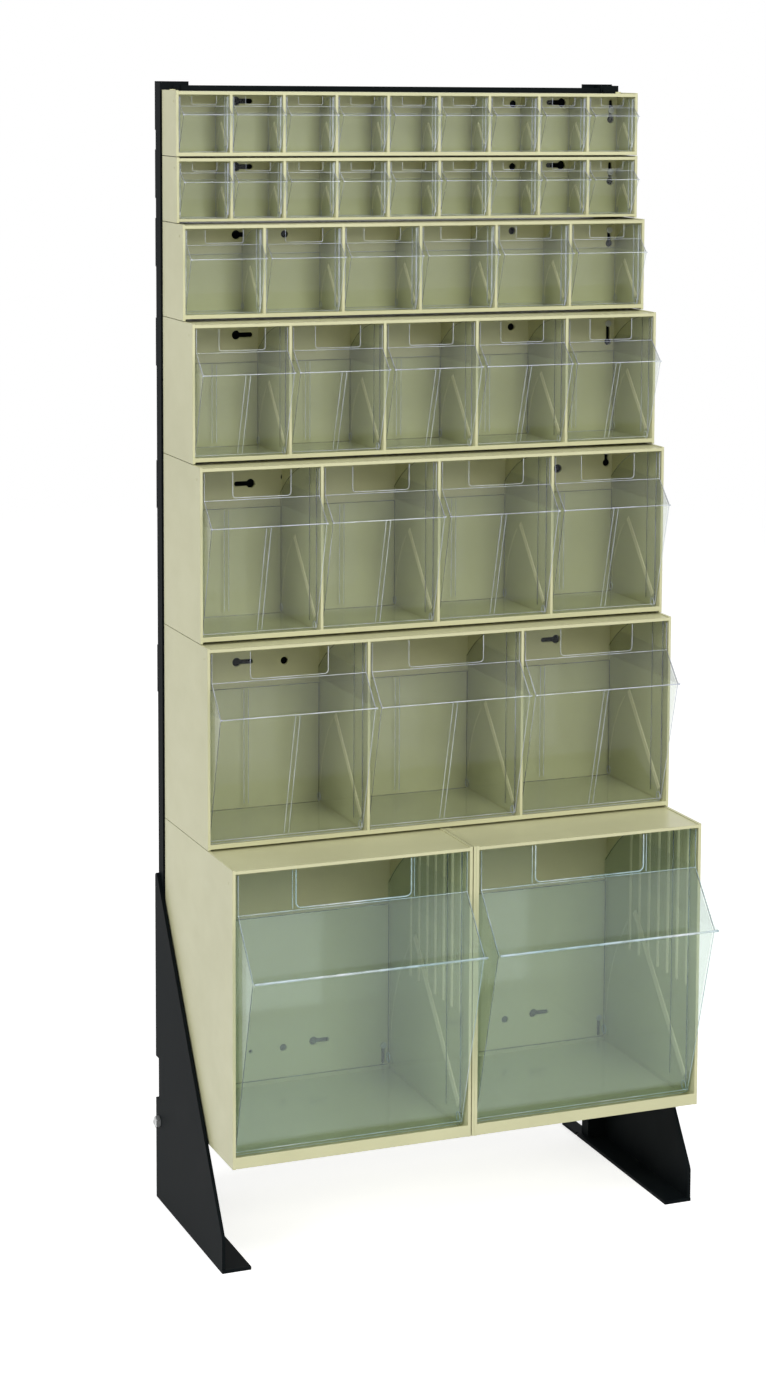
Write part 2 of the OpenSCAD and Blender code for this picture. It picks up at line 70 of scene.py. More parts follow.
class Value:
    """A shader socket that takes part in Python sums."""

    def __init__(self, tree: "ShaderTree", socket: Optional[bpy.types.NodeSocket]) -> None:
        """Keeps the socket and the tree that it is in.

        Args:
            tree: The tree that new Math nodes go into.
            socket: The output socket that holds the value.
        """
        self.tree = tree
        self.socket = socket

    def _math(self, operation: str, first: Any, second: Any) -> "Value":
        """Adds one Math node."""
        return self.tree.node("ShaderNodeMath", {"operation": operation}, {0: first, 1: second})

    def __add__(self, other: Any) -> "Value":
        """Adds."""
        return self._math("ADD", self, other)

    def __radd__(self, other: Any) -> "Value":
        """Adds, with the number first."""
        return self._math("ADD", other, self)

    def __sub__(self, other: Any) -> "Value":
        """Subtracts."""
        return self._math("SUBTRACT", self, other)

    def __rsub__(self, other: Any) -> "Value":
        """Subtracts this from the number."""
        return self._math("SUBTRACT", other, self)

    def __mul__(self, other: Any) -> "Value":
        """Multiplies."""
        return self._math("MULTIPLY", self, other)

    def __rmul__(self, other: Any) -> "Value":
        """Multiplies, with the number first."""
        return self._math("MULTIPLY", other, self)

    def __pow__(self, other: Any) -> "Value":
        """Raises to a power."""
        return self._math("POWER", self, other)

    def __rpow__(self, other: Any) -> "Value":
        """Raises the number to this power."""
        return self._math("POWER", other, self)

    def centred(self) -> "Value":
        """Moves a noise so that its middle is 0."""
        return self - 0.5

    def clamped(self) -> "Value":
        """Keeps the value between 0 and 1."""
        return self._math("MINIMUM", self._math("MAXIMUM", self, 0.0), 1.0)

    def smooth_step(self, low: float, high: float) -> "Value":
        """Rises smoothly from 0 to 1.

        Args:
            low: The value up to which the result is 0.
            high: The value from which the result is 1.

        Returns:
            The smoothed value.
        """
        return self.tree.node(
            "ShaderNodeMapRange",
            {"interpolation_type": "SMOOTHSTEP"},
            {"Value": self, "From Min": low, "From Max": high, "To Min": 0.0, "To Max": 1.0},
            "Result",
        )


class ShaderTree:
    """Builds the node tree of one material or of the world."""

    def __init__(self, tree: bpy.types.NodeTree) -> None:
        """Clears the tree.

        Args:
            tree: The node tree to build in.
        """
        self.tree = tree
        tree.nodes.clear()

    def node(
        self, kind: str, settings: Optional[dict[str, Any]] = None, inputs: Optional[dict[Any, Any]] = None,
        output: Union[int, str] = 0,
    ) -> Value:
        """Adds a node of any type.

        Args:
            kind: The node's type.
            settings: Properties, which are set first.
            inputs: Values or links by socket name or number.
            output: The output to return, by name or number.

        Returns:
            The chosen output.
        """
        made = self.tree.nodes.new(kind)
        for name, value in (settings or {}).items():
            setattr(made, name, value)
        for name, value in (inputs or {}).items():
            socket = made.inputs[name]
            if isinstance(value, Value):
                self.tree.links.new(value.socket, socket)
            else:
                socket.default_value = value
        return Value(self, made.outputs[output] if made.outputs else None)

    def place(self) -> Value:
        """Gives the object coordinates."""
        return self.node("ShaderNodeTexCoord", output="Object")

    def height(self) -> Value:
        """Gives the object coordinate along Z."""
        return self.node("ShaderNodeSeparateXYZ", inputs={0: self.place()}, output="Z")

    def noise(self, grain: Grain) -> Value:
        """Adds a noise over the object coordinates.

        Args:
            grain: The noise's scale and strength.

        Returns:
            The noise, from 0 to 1.
        """
        spot = self.node("ShaderNodeMapping", inputs={"Vector": self.place(), "Scale": grain.stretch})
        return self.node("ShaderNodeTexNoise", inputs={
            "Vector": spot, "Scale": grain.scale, "Detail": grain.detail, "Roughness": grain.roughness,
        })

    def blend(self, factor: Value, first: Colour, second: Colour) -> Value:
        """Mixes two colours.

        Args:
            factor: The share of the second colour.
            first: The first colour.
            second: The second colour.

        Returns:
            The mixed colour.
        """
        colours = {0: factor, 6: (*first, 1.0), 7: (*second, 1.0)}
        return self.node("ShaderNodeMix", {"data_type": "RGBA"}, colours, 2)

    def bump(self, height: Value, strength: float, distance: float, normal: Optional[Value] = None) -> Value:
        """Adds a Bump node over a height.

        Args:
            height: The height.
            strength: How much of the bump shows.
            distance: The depth that the height stands for, in metres.
            normal: The normal to start from, if not the surface's own.

        Returns:
            The normal.
        """
        inputs = {"Height": height, "Strength": strength, "Distance": distance}
        if normal is not None:
            inputs["Normal"] = normal
        return self.node("ShaderNodeBump", inputs=inputs)

    def rounded_edges(self, radius: float) -> Value:
        """Gives normals that look as if the edges were rounded to the radius."""
        return self.node("ShaderNodeBevel", {"samples": 4}, {"Radius": radius})

    def principled(self, inputs: dict[str, Any]) -> Value:
        """Adds the Principled shader with the given inputs."""
        return self.node("ShaderNodeBsdfPrincipled", inputs=inputs)

    def clear(self, colour: Iterable[float]) -> Value:
        """Adds a shader that lets light of the colour straight through."""
        return self.node("ShaderNodeBsdfTransparent", inputs={"Color": (*colour, 1.0)})

    def mix(self, share: Value, first: Value, second: Value) -> Value:
        """Mixes two shaders, with the share of the second."""
        return self.node("ShaderNodeMixShader", inputs={0: share, 1: first, 2: second})

    def surface(self, shader: Value, kind: str = "ShaderNodeOutputMaterial") -> None:
        """Links the shader to the output."""
        self.node(kind, inputs={"Surface": shader})


def new_material(name: str, colour: Colour) -> tuple[bpy.types.Material, ShaderTree]:
    """Makes a material with an empty tree.

    Args:
        name: The material's name.
        colour: The colour that it shows in a plain viewport.

    Returns:
        The material and its tree.
    """
    material = bpy.data.materials.new(name)
    material.use_nodes = True
    material.diffuse_color = (*colour, 1.0)
    return material, ShaderTree(material.node_tree)


@dataclass(frozen=True)
class IvoryPlastic:
    """Moulded ivory plastic of the housings, clouded a little along the flow of the melt."""

    name: str = "ivory_plastic_moulded"
    colour: Colour = (0.588, 0.580, 0.352)
    shade: Colour = (0.530, 0.522, 0.310)
    shading: Pair = (0.3, 0.75)
    cloud: Grain = Grain(7.0, 3.0, 0.55)
    flow: Grain = Grain(22.0, 4.0, 0.6, (0.4, 1.0, 1.6))
    flow_share: float = 0.3
    pores: Grain = Grain(900.0, 2.0, 0.5)
    pore_strength: float = 0.10
    pore_depth: float = 0.12 * MM
    roughness: float = 0.36
    roughness_swing: float = 0.12
    edge_radius: float = 0.9 * MM
    ior: float = 1.5

    def make(self) -> bpy.types.Material:
        """Builds the material.

        Returns:
            The material.
        """
        material, tree = new_material(self.name, self.colour)
        flow = tree.noise(self.flow)
        cloud = tree.noise(self.cloud) * (1.0 - self.flow_share) + flow * self.flow_share
        edges = tree.rounded_edges(self.edge_radius)
        tree.surface(tree.principled({
            "Base Color": tree.blend(cloud.smooth_step(*self.shading), self.colour, self.shade),
            "Roughness": self.roughness + flow.centred() * self.roughness_swing,
            "Normal": tree.bump(tree.noise(self.pores), self.pore_strength, self.pore_depth, edges),
            "IOR": self.ior,
        }))
        return material


class Tint(Enum):
    """The two batches of clear plastic: name, what a wall lets through, its sheen, and its painted edge lines'
    colour.
    """

    GREY = ("grey", (0.925, 0.945, 0.92), (0.90, 0.92, 0.93), (0.68, 0.71, 0.86))
    GREEN = ("green", (0.895, 0.94, 0.915), (0.80, 0.91, 0.88), (0.50, 0.66, 0.72))


@dataclass(frozen=True)
class ClearPlastic:
    """Clear moulded plastic of one row's bins, which mirrors a little more where it is seen at a slant.

    Between the heights of the lip and the bend, a dark shader mixed into the wall paints shade over the leaning
    front. Above the bend the sheen is weaker.
    """

    name: str
    tint: Tint
    lip: float
    bend: float
    shine: float = 0.020
    top_share: float = 0.6
    # share of painted shade mixed into the leaning front between the lip and the bend
    painted_slant_shade: float = 0.08
    painted_slant_shade_colour: Colour = (0.07, 0.08, 0.09)
    painted_slant_shade_roughness: float = 0.3
    cloud: Grain = Grain(6.0, 2.0, 0.5)
    cloud_shade: float = 0.92
    cloud_shine: float = 0.01
    metallic: float = 0.8
    roughness: float = 0.07
    roughness_swing: float = 0.04
    waves: Grain = Grain(26.0, 1.0, 0.4)
    wave_strength: float = 0.06
    wave_depth: float = 1.0 * MM
    slant_shine: float = 0.45
    slant_power: float = 4.0
    seam: float = 1.5 * MM

    def _above(self, tree: ShaderTree, height: float) -> Value:
        """Gives 1 above the height and 0 below it, with a short seam between."""
        return tree.height().smooth_step(height - self.seam, height + self.seam)

    def make(self) -> bpy.types.Material:
        """Builds the material.

        Returns:
            The material.
        """
        _, through, sheen, _ = self.tint.value
        material, tree = new_material(self.name, through)
        cloud = tree.noise(self.cloud)
        above_bend = self._above(tree, self.bend)
        leaning = self._above(tree, self.lip) * (1.0 - above_bend)
        veil = tree.principled({
            "Base Color": tree.blend(cloud, sheen, tuple(self.cloud_shade * c for c in sheen)),
            "Metallic": self.metallic,
            "Roughness": self.roughness + cloud * self.roughness_swing,
            "Normal": tree.bump(tree.noise(self.waves), self.wave_strength, self.wave_depth),
        })
        # painted shade: a dark sheet mixed into the wall in the band between the lip and the bend
        painted_shade_sheet = tree.principled({"Base Color": (*self.painted_slant_shade_colour, 1.0), "Roughness": self.painted_slant_shade_roughness})
        passed = tree.mix(leaning * self.painted_slant_shade, tree.clear(math.sqrt(c) for c in through), painted_shade_sheet)
        slant = tree.node("ShaderNodeLayerWeight", inputs={"Blend": 0.5}, output="Facing")
        share = slant ** self.slant_power * self.slant_shine + self.shine + cloud.centred() * self.cloud_shine
        share = share * (1.0 - above_bend * (1.0 - self.top_share))
        tree.surface(tree.mix(share.clamped(), passed, veil))
        return material


@dataclass(frozen=True)
class PaintedEdgeLight:
    """Painted light on the clear bins' edges, broken up along their length: bright glints, or dim painted shade
    looking into the wall.
    """

    tint: Tint
    dim: bool = False
    least: float = 0.34
    most: float = 0.80
    deep: float = 0.22
    # painted highlight: the palest colour of the glints on the bright edges
    light: Colour = (0.86, 0.90, 0.95)
    glint: Grain = Grain(34.0, 3.0, 0.6)
    glinting: Pair = (0.35, 0.68)
    cloud: Grain = Grain(9.0, 2.0, 0.5)
    dim_clouding: Pair = (0.5, 0.78)
    bright_clouding: Pair = (0.4, 0.7)
    roughness: float = 0.16
    roughness_swing: float = 0.1
    ior: float = 1.49

    def make(self) -> bpy.types.Material:
        """Builds the material.

        Returns:
            The material.
        """
        name, through, _, edge = self.tint.value
        material, tree = new_material(f"{'dim' if self.dim else 'bright'}_edge_{name}", edge)
        glint, cloud = tree.noise(self.glint), tree.noise(self.cloud)
        # dim edges are painted shade and bright ones painted highlight, mixed over a clear pass-through
        if self.dim:
            colour = tree.blend(cloud.smooth_step(*self.dim_clouding), tuple(self.deep * c for c in edge), edge)
        else:
            colour = tree.blend(cloud.smooth_step(*self.bright_clouding), edge, self.light)
        bright = tree.principled({
            "Base Color": colour, "Roughness": self.roughness + glint * self.roughness_swing, "IOR": self.ior,
        })
        share = self.least + glint.smooth_step(*self.glinting) * (self.most - self.least)
        tree.surface(tree.mix(share, tree.clear(through), bright))
        return material


@dataclass(frozen=True)
class PowderCoat:
    """Black powder coat of the stand."""

    colour: Colour = (0.0042, 0.0060, 0.0068)
    worn: Colour = (0.0085, 0.0110, 0.0120)
    wear: Pair = (0.35, 0.8)
    cloud: Grain = Grain(11.0, 3.0, 0.6)
    peel: Grain = Grain(1400.0, 2.0, 0.55)
    peel_strength: float = 0.22
    peel_depth: float = 0.15 * MM
    edge_radius: float = 0.6 * MM
    roughness: float = 0.56
    roughness_swing: float = 0.14
    shine: float = 0.024

    def make(self) -> bpy.types.Material:
        """Builds the material.

        Returns:
            The material.
        """
        material, tree = new_material("black_powder_coat", self.colour)
        cloud = tree.noise(self.cloud)
        edges = tree.rounded_edges(self.edge_radius)
        tree.surface(tree.principled({
            "Base Color": tree.blend(cloud.smooth_step(*self.wear), self.colour, self.worn),
            "Roughness": self.roughness + cloud.centred() * self.roughness_swing,
            "Normal": tree.bump(tree.noise(self.peel), self.peel_strength, self.peel_depth, edges),
            "Specular IOR Level": self.shine,
        }))
        return material


@dataclass(frozen=True)
class ZincPlate:
    """Bright zinc plate of the screws and bolts."""

    colour: Colour = (0.62, 0.63, 0.64)
    shade: Colour = (0.50, 0.51, 0.50)
    cloud: Grain = Grain(90.0, 2.0, 0.5)
    grain: Grain = Grain(700.0, 3.0, 0.6)
    grain_strength: float = 0.15
    grain_depth: float = 0.1 * MM
    roughness: float = 0.30
    roughness_swing: float = 0.12

    def make(self) -> bpy.types.Material:
        """Builds the material.

        Returns:
            The material.
        """
        material, tree = new_material("zinc_plate", self.colour)
        grain = tree.noise(self.grain)
        tree.surface(tree.principled({
            "Base Color": tree.blend(tree.noise(self.cloud), self.colour, self.shade), "Metallic": 1.0,
            "Roughness": self.roughness + grain * self.roughness_swing,
            "Normal": tree.bump(grain, self.grain_strength, self.grain_depth),
        }))
        return material


class PartTree:
    """Builds one Geometry Nodes tree with named inputs and turns its result into a plain mesh."""

    def __init__(self, name: str) -> None:
        """Makes an empty tree.

        Args:
            name: The tree's name.
        """
        self.tree = bpy.data.node_groups.new(name, "GeometryNodeTree")
        self.values: dict[str, Any] = {}
        face = self.tree.interface
        face.new_socket("Geometry", in_out="INPUT", socket_type="NodeSocketGeometry")
        face.new_socket("Geometry", in_out="OUTPUT", socket_type="NodeSocketGeometry")
        self.entry = self.tree.nodes.new("NodeGroupInput")
        self.exit = self.tree.nodes.new("NodeGroupOutput")

    def size(self, name: str, value: Any, kind: str = "NodeSocketFloat") -> bpy.types.NodeSocket:
        """Adds a named input.

        Args:
            name: The input's name.
            value: The value that the modifier gives it.
            kind: The socket's type.

        Returns:
            The socket inside the tree.
        """
        self.tree.interface.new_socket(name, in_out="INPUT", socket_type=kind)
        self.values[name] = value
        return self.entry.outputs[name]

    def node(
        self, kind: str, settings: Optional[dict[str, Any]] = None, inputs: Optional[dict[Any, Any]] = None,
        output: Union[int, str] = 0,
    ) -> bpy.types.NodeSocket:
        """Adds a node.

        Args:
            kind: The node's type.
            settings: Properties, which are set first.
            inputs: Values or links by socket name or number. A list links several to one socket.
            output: The output to return.

        Returns:
            The chosen output.
        """
        made = self.tree.nodes.new(kind)
        for name, value in (settings or {}).items():
            setattr(made, name, value)
        for name, value in (inputs or {}).items():
            for one in value if isinstance(value, list) else [value]:
                if isinstance(one, bpy.types.NodeSocket):
                    self.tree.links.new(one, made.inputs[name])
                else:
                    made.inputs[name].default_value = one
        return made.outputs[output]

    def times(self, size: bpy.types.NodeSocket, factor: float) -> bpy.types.NodeSocket:
        """Multiplies a size by a number."""
        return self.node("ShaderNodeMath", {"operation": "MULTIPLY"}, {0: size, 1: factor})

    def lifted(self, shape: bpy.types.NodeSocket, rise: bpy.types.NodeSocket) -> bpy.types.NodeSocket:
        """Moves a shape up."""
        up = self.node("ShaderNodeCombineXYZ", inputs={"Z": rise})
        return self.node("GeometryNodeTransform", inputs={"Geometry": shape, "Translation": up})

    def on_points(self, shape: bpy.types.NodeSocket, turn: Place = (0.0, 0.0, 0.0)) -> bpy.types.NodeSocket:
        """Puts the shape on every point of the mesh that the tree starts from.

        Args:
            shape: The shape.
            turn: Its rotation, in degrees.

        Returns:
            The instances.
        """
        points = self.node("GeometryNodeMeshToPoints", inputs={0: self.entry.outputs[0]})
        return self.node("GeometryNodeInstanceOnPoints", inputs={
            "Points": points, "Instance": shape, "Rotation": tuple(math.radians(a) for a in turn),
        })

    def bake(self, name: str, mesh: bpy.types.Mesh, material: bpy.types.Material,
             shape: bpy.types.NodeSocket) -> bpy.types.Object:
        """Ends the tree, runs it over a mesh and bakes the result.

        Args:
            name: The piece's name.
            mesh: The points or paths that carry the shape, in metres.
            material: The material of every face.
            shape: The geometry to finish with.

        Returns:
            A plain mesh object at the origin.
        """
        real = self.node("GeometryNodeRealizeInstances", inputs={0: shape})
        dressed = self.node("GeometryNodeSetMaterial", inputs={"Geometry": real, "Material": material})
        self.tree.links.new(dressed, self.exit.inputs[0])
        piece = bpy.data.objects.new(name, mesh)
        bpy.context.scene.collection.objects.link(piece)
        modifier = piece.modifiers.new("shape", "NODES")
        modifier.node_group = self.tree
        for item in self.tree.interface.items_tree:
            if item.in_out == "INPUT" and item.name in self.values:
                modifier[item.identifier] = self.values[item.name]
        ready = piece.evaluated_get(bpy.context.evaluated_depsgraph_get())
        baked = bpy.data.meshes.new_from_object(ready)
        piece.modifiers.remove(modifier)
        piece.data = baked
        baked.name = name
        LOG.info("%s: %d faces", name, len(baked.polygons))
        return piece


@dataclass
class Lines:
    """Thin round lines along a set of paths, as one piece."""

    name: str
    body: str
    slot: str
    sides: int = 6
    fullness: float = 1.0
    paths: list[tuple[list[Vector], float, bool]] = field(default_factory=list)

    def add(self, points: Iterable[Place], radius: float, closed: bool = False) -> None:
        """Adds a path.

        Args:
            points: The path's points, in metres.
            radius: The line's radius, in metres.
            closed: Whether the last point joins the first.
        """
        self.paths.append(([Vector(p) for p in points], radius, closed))

    def build(self, material: bpy.types.Material) -> bpy.types.Object:
        """Makes the lines.

        Args:
            material: The finish.

        Returns:
            The piece, riding on its body.
        """
        spots, edges, radii = [], [], []
        for points, radius, closed in self.paths:
            first = len(spots)
            spots += points
            radii += [radius] * len(points)
            edges += [(first + i, first + i + 1) for i in range(len(points) - 1)]
            if closed:
                edges.append((len(spots) - 1, first))
        mesh = bpy.data.meshes.new(self.name + "_paths")
        mesh.from_pydata(spots, edges, [])
        mesh.attributes.new("line_radius", "FLOAT", "POINT").data.foreach_set("value", radii)
        tree = PartTree(self.name + "_tree")
        sides = tree.size("Sides", self.sides, "NodeSocketInt")
        fullness = tree.size("Fullness", self.fullness)
        radius = tree.node("GeometryNodeInputNamedAttribute", {"data_type": "FLOAT"}, {"Name": "line_radius"})
        curve = tree.node("GeometryNodeMeshToCurve", inputs={0: tree.entry.outputs[0]})
        ring = tree.node("GeometryNodeCurvePrimitiveCircle", inputs={"Resolution": sides, "Radius": fullness})
        tube = tree.node("GeometryNodeCurveToMesh", inputs={
            "Curve": curve, "Profile Curve": ring, "Scale": radius, "Fill Caps": True,
        })
        piece = tree.bake(self.name, mesh, material, tube)
        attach(piece, self.body)
        return piece


def dress(node: str, material: bpy.types.Material) -> None:
    """Gives a CAD node one material in all its slots.

    Args:
        node: The node's name.
        material: The finish.
    """
    shown = frame["nodes"][node]
    if not shown.material_slots:
        shown.data.materials.append(material)
    for slot in shown.material_slots:
        slot.material = material


class Drive(Enum):
    """What a screw head is turned by."""

    CROSS = "cross"
    HEX = "hex"


@dataclass
class ScrewHeads:
    """Heads with a rim, a crown and a recess, one at each place, all facing the same way.

    The shares are of the head's radius or of its height.
    """

    name: str
    places: list[Place]
    turn: Place
    radius: float
    height: float
    drive: Drive
    slot: str
    body: str = "stand"
    segments: int = 28
    rim_share: float = 0.5
    top_share: float = 0.62
    hex_share: float = 0.46
    hex_depth: float = 1.2
    cross_long: float = 1.1
    cross_thin: float = 0.2

    def build(self, material: bpy.types.Material) -> bpy.types.Object:
        """Builds the heads as one piece.

        Args:
            material: The finish.

        Returns:
            The piece, riding on its body.
        """
        tree = PartTree(self.name + "_tree")
        radius, height = tree.size("Radius", self.radius), tree.size("Height", self.height)
        rim = tree.times(height, self.rim_share)
        skirt = tree.node("GeometryNodeMeshCylinder", inputs={
            "Vertices": self.segments, "Radius": radius, "Depth": rim,
        })
        crown = tree.node("GeometryNodeMeshCone", inputs={
            "Vertices": self.segments, "Radius Top": tree.times(radius, self.top_share), "Radius Bottom": radius,
            "Depth": rim,
        })
        cut = tree.node("GeometryNodeMeshBoolean", {"operation": "DIFFERENCE", "solver": "EXACT"}, {
            "Mesh 1": tree.lifted(crown, tree.times(rim, 0.5)), "Mesh 2": self._recess(tree, radius, height),
        })
        solid = tree.node("GeometryNodeJoinGeometry", inputs={0: [skirt, cut]})
        mesh = bpy.data.meshes.new(self.name + "_places")
        mesh.from_pydata([Vector(p) for p in self.places], [], [])
        piece = tree.bake(self.name, mesh, material, tree.on_points(solid, self.turn))
        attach(piece, self.body)
        return piece

    def _recess(self, tree: PartTree, radius: bpy.types.NodeSocket, height: bpy.types.NodeSocket
                ) -> bpy.types.NodeSocket:
        """Makes the hollow that the driver goes into.

        Args:
            tree: The tree to build in.
            radius: The head's radius.
            height: The head's height.

        Returns:
            The hollow as a solid.
        """
        if self.drive is Drive.HEX:
            hollow = tree.node("GeometryNodeMeshCylinder", inputs={
                "Vertices": 6, "Radius": tree.times(radius, self.hex_share),
                "Depth": tree.times(height, self.hex_depth),
            })
            return tree.lifted(hollow, height)
        long, thin = tree.times(radius, self.cross_long), tree.times(radius, self.cross_thin)
        bars = []
        for first, second in ((long, thin), (thin, long)):
            size = tree.node("ShaderNodeCombineXYZ", inputs={"X": first, "Y": second, "Z": height})
            bars.append(tree.node("GeometryNodeMeshCube", inputs={"Size": size}))
        return tree.lifted(tree.node("GeometryNodeJoinGeometry", inputs={0: bars}), height)


def clusters(node: str, across: tuple[int, int], reach: float = 5 * MM) -> list[tuple[Vector, Vector]]:
    """Finds the separate small things in a CAD node, such as its screws.

    Args:
        node: The node's name.
        across: The two axes in which the things stand apart.
        reach: Half of the least distance between two of them.

    Returns:
        The lowest and highest corner of each.
    """
    found: list[list[Vector]] = []
    for vertex in frame["nodes"][node].data.vertices:
        spot = vertex.co
        for group in found:
            if all(abs(group[0][i] - spot[i]) < 2 * reach for i in across):
                group.append(spot)
                break
        else:
            found.append([spot])
    return [tuple(Vector([pick(p[i] for p in group) for i in range(3)]) for pick in (min, max)) for group in found]


@dataclass
class Stand:
    """The black steel stand: uprights, legs and rails, with its bolts and the housings' screws.

    A crown is its radius and its height.
    """

    steel: tuple[str, ...] = ("upright_left", "upright_right", "leg_left", "leg_right")
    rails: int = 7
    screw_crown: Pair = (3.8 * MM, 0.8 * MM)
    bolt_crown: Pair = (3.7 * MM, 0.7 * MM)
    leg_crown: Pair = (5.6 * MM, 2.0 * MM)
    leg_bolt_reach: float = 20 * MM

    def build(self, coat: bpy.types.Material, zinc: bpy.types.Material) -> None:
        """Dresses the CAD nodes and puts crowns with recesses on the screws and bolts.

        Args:
            coat: The powder coat.
            zinc: The zinc plate.
        """
        for node in (*self.steel, *(f"rail_row{i + 1}" for i in range(self.rails)), "rail_bolts"):
            dress(node, coat)
            LOG.info("dressed %s", node)
        for node in ("leg_bolts", "hanging_screws"):
            dress(node, zinc)
            LOG.info("dressed %s", node)
        self._front_heads("screw_crowns", "hanging_screws", self.screw_crown, Drive.CROSS, "zinc").build(zinc)
        self._front_heads("rail_bolt_crowns", "rail_bolts", self.bolt_crown, Drive.HEX, "black_coat").build(coat)
        for low, high in clusters("leg_bolts", (0, 2), self.leg_bolt_reach):
            side, x, turn = ("left", low.x, -90.0) if low.x < 0 else ("right", high.x, 90.0)
            spot = (x, (low.y + high.y) / 2, (low.z + high.z) / 2)
            crown = ScrewHeads(f"leg_bolt_crown_{side}", [spot], (0.0, turn, 0.0), *self.leg_crown, Drive.HEX, "zinc")
            crown.build(zinc)

    @staticmethod
    def _front_heads(name: str, node: str, crown: Pair, drive: Drive, slot: str) -> ScrewHeads:
        """Prepares crowns on all heads of a node that face the front."""
        places = [((low.x + high.x) / 2, low.y, (low.z + high.z) / 2) for low, high in clusters(node, (0, 2))]
        return ScrewHeads(name, places, (90.0, 0.0, 0.0), *crown, drive, slot)


@dataclass
class Housings:
    """The ivory housings that the bins tilt in: one in each of the upper rows, and a pair at the bottom."""

    whole_rows: int = 6
    pair: tuple[str, str] = ("housing_row7_left", "housing_row7_right")

    def build(self, ivory: bpy.types.Material) -> None:
        """Dresses the housings.

        Args:
            ivory: The moulded plastic.
        """
        for node in (*(f"housing_row{i + 1}" for i in range(self.whole_rows)), *self.pair):
            dress(node, ivory)
            LOG.info("dressed %s", node)


@dataclass
class JoiningStrip:
    """The strip that thickens the right large housing's wall and nearly closes the gap to the left one."""

    left: str = "housing_row7_left"
    right: str = "housing_row7_right"
    gap: float = 1.2 * MM
    set_in: float = 0.2 * MM

    def build(self, ivory: bpy.types.Material) -> bpy.types.Object:
        """Builds the strip.

        Args:
            ivory: The moulded plastic.

        Returns:
            The piece, riding on the stand.
        """
        _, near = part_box(self.left)
        far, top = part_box(self.right)
        low = Vector((near[0] + self.gap, far[1] + self.set_in, far[2] + self.set_in))
        high = Vector((far[0], top[1] - self.set_in, top[2] - self.set_in))
        tree = PartTree("joining_strip_tree")
        size = tree.size("Size", tuple(high - low), "NodeSocketVector")
        bar = tree.node("GeometryNodeMeshCube", inputs={"Size": size})
        mesh = bpy.data.meshes.new("joining_strip_place")
        mesh.from_pydata([(low + high) / 2], [], [])
        piece = tree.bake("joining_strip", mesh, ivory, tree.on_points(bar))
        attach(piece, "stand")
        return piece


